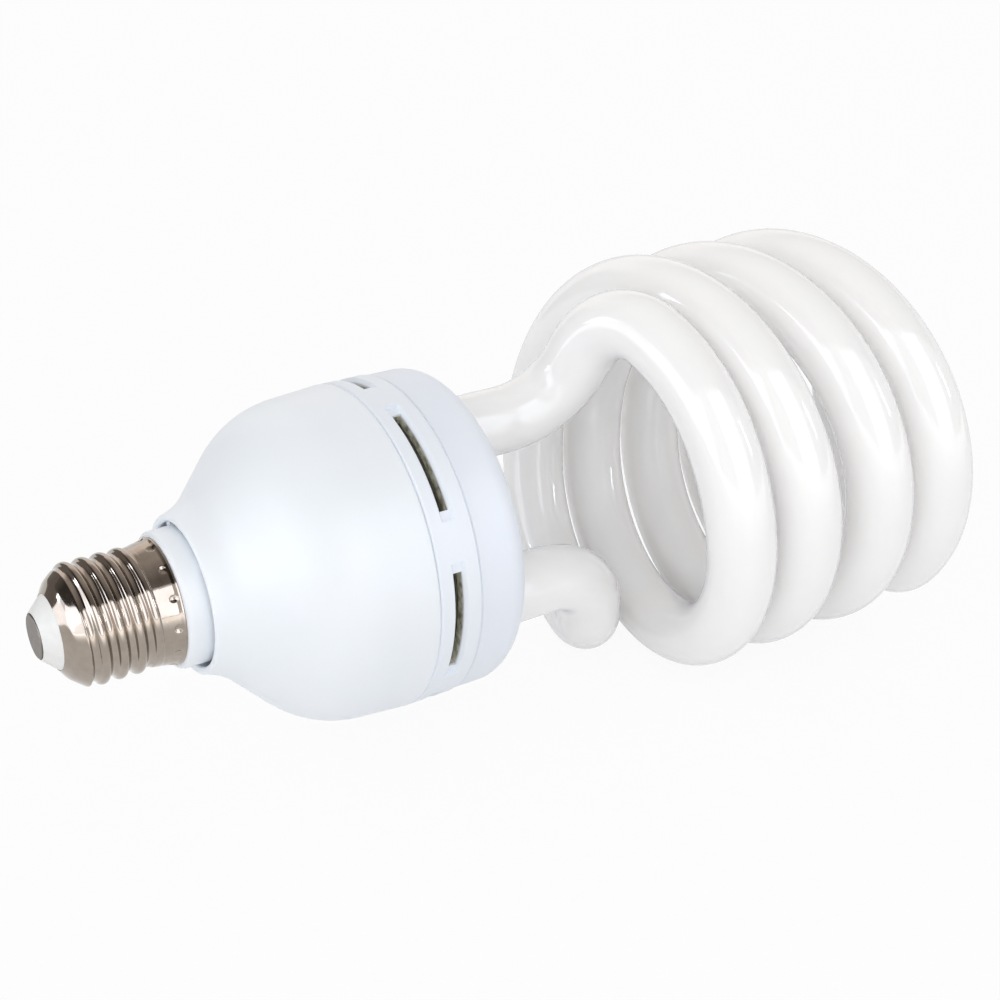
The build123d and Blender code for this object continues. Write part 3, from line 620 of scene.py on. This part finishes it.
# Painted shade: below the skin the slot walls turn olive grey, mottled dark and pale, standing for the shade
# in the slots and the ballast behind them.
depth = add(tree, "MapRange", {"Value": radius.outputs["Value"], "From Min": SKIN_R,
                               "From Max": SKIN_R - SKIN_EDGE})
shade_scraps = add(tree, "TexNoise", {"Vector": place, "Scale": 1 / SHADE_SCRAP, "Detail": 3.0})
painted_slot_shade = add(tree, "ValToRGB", {"Fac": shade_scraps.outputs["Fac"]},
              [(0.3, "#6A6754"), (0.42, "#A9A693"), (0.62, "#DAD8C8")])
paint = add(tree, "Mix", {0: depth.outputs["Result"], 6: skin.links[0].from_socket,
                          7: painted_slot_shade.outputs["Color"]}, data_type="RGBA")
tree.links.new(paint.outputs[2], skin)
dress(ring_pbt, "vent_ring")
print("slots shaded below", round(SKIN_R / MM, 1), "mm")

# %% [markdown]
# ## Contact and insulator
#
# The tip is a nickel-plated brass disc, dull from its stamping, set in a white moulded cone.

# %% Contact and insulator
STAMPING, UREA_CLOUD = 1.2 * MM, 2.5 * MM

# Stamped brass, nickel plated: flat, grey-brown and only half bright.
contact, tree, shader, place = new_material("stamped_contact", Metallic=1.0, Roughness=0.4)
mottle(tree, shader, place, STAMPING, "#706862", "#817A73", 4.0)
dress(contact, "centre_contact")

# Urea moulding: neutral white and even, with a low sheen.
urea, tree, shader, place = new_material("white_urea_moulding", Roughness=0.5)
mottle(tree, shader, place, UREA_CLOUD, "#E4E4E3", "#EAEAE9", 3.0)
dress(urea, "base_insulator")
print("tip dressed")

# %% [markdown]
# ## Pieces inside
#
# Little of the ballast shows through the slots, but every piece has its own finish: laminate, ferrite,
# enamelled wire, film and sleeve. They differ in colour, gloss and grain, so one function makes them all
# from two colours and the size of the grain.

# %% Inside materials
RELIEF, RELIEF_STRENGTH = 0.1, 0.2


def grained(name, dark, light, grain, roughness, metallic=0.0):
    """A finish of two colours, mottled at a grain size in millimetres, with a bump of the same grain."""
    material, tree, shader, place = new_material(name, Roughness=roughness, Metallic=metallic)
    noise, _ = mottle(tree, shader, place, grain * MM, dark, light, 3.0, (0.35, 0.65))
    bump = add(tree, "Bump", {"Height": noise, "Strength": RELIEF_STRENGTH, "Distance": RELIEF * grain * MM})
    tree.links.new(bump.outputs["Normal"], shader.inputs["Normal"])
    return material


finishes = {
    # Resin-soaked paper: olive brown and cloudy.
    "board": grained("paper_laminate", "#6F6C58", "#8C8A78", 2.0, 0.5),
    # Baked cement: chalky and pale.
    "cement": grained("lamp_cement", "#D8D4C8", "#E6E3D9", 0.8, 0.9),
    # Shrunk sleeve: near black and smooth.
    "can": grained("capacitor_sleeve", "#1E2226", "#2B3036", 3.0, 0.35),
    # Pressed and fired ferrite: dark, dull and gritty.
    "ferrite": grained("sintered_ferrite", "#3A3A3C", "#4A4A4C", 0.5, 0.7),
    # Moulded phenolic: brown black and half dull.
    "bobbin": grained("phenolic_bobbin", "#1C1A18", "#2A2724", 1.0, 0.5),
    # Copper wire under clear enamel: red brown and bright.
    "winding": grained("enamelled_copper", "#8A4A24", "#B36A38", 0.4, 0.3, 1.0),
    # Dipped resin: brick red with a wet gloss.
    "film": grained("dipped_film_capacitor", "#7E2F22", "#96402F", 1.5, 0.4),
    # Moulded epoxy: black with a fine dull grain.
    "package": grained("epoxy_package", "#202122", "#2C2D2E", 0.4, 0.6),
    # Dipped thermistor: dark green and half dull.
    "thermistor": grained("thermistor_dip", "#2B3B2E", "#37493A", 0.8, 0.5),
    # Lacquer on a resistor: tan with a soft gloss.
    "resistor": grained("resistor_lacquer", "#C4AE86", "#D2BE98", 0.8, 0.4),
    # Fired ceramic: off-white and half dull.
    "fuse": grained("fuse_ceramic", "#DAD6CC", "#E6E3DA", 0.8, 0.5),
    # Extruded insulation: light grey and smooth.
    "insulated_lead": grained("lead_insulation", "#B8B8B4", "#C8C8C4", 1.0, 0.5),
    # Tinned copper: a soft grey metal.
    "tinned_wire": grained("tinned_wire", "#A8A8A8", "#BEBEBE", 0.4, 0.35, 1.0),
}
for subpart in frame["record"]["subparts"]:
    if subpart["material_slot"] in finishes:
        dress(finishes[subpart["material_slot"]], subpart["node"])
print(len(finishes), "finishes inside")
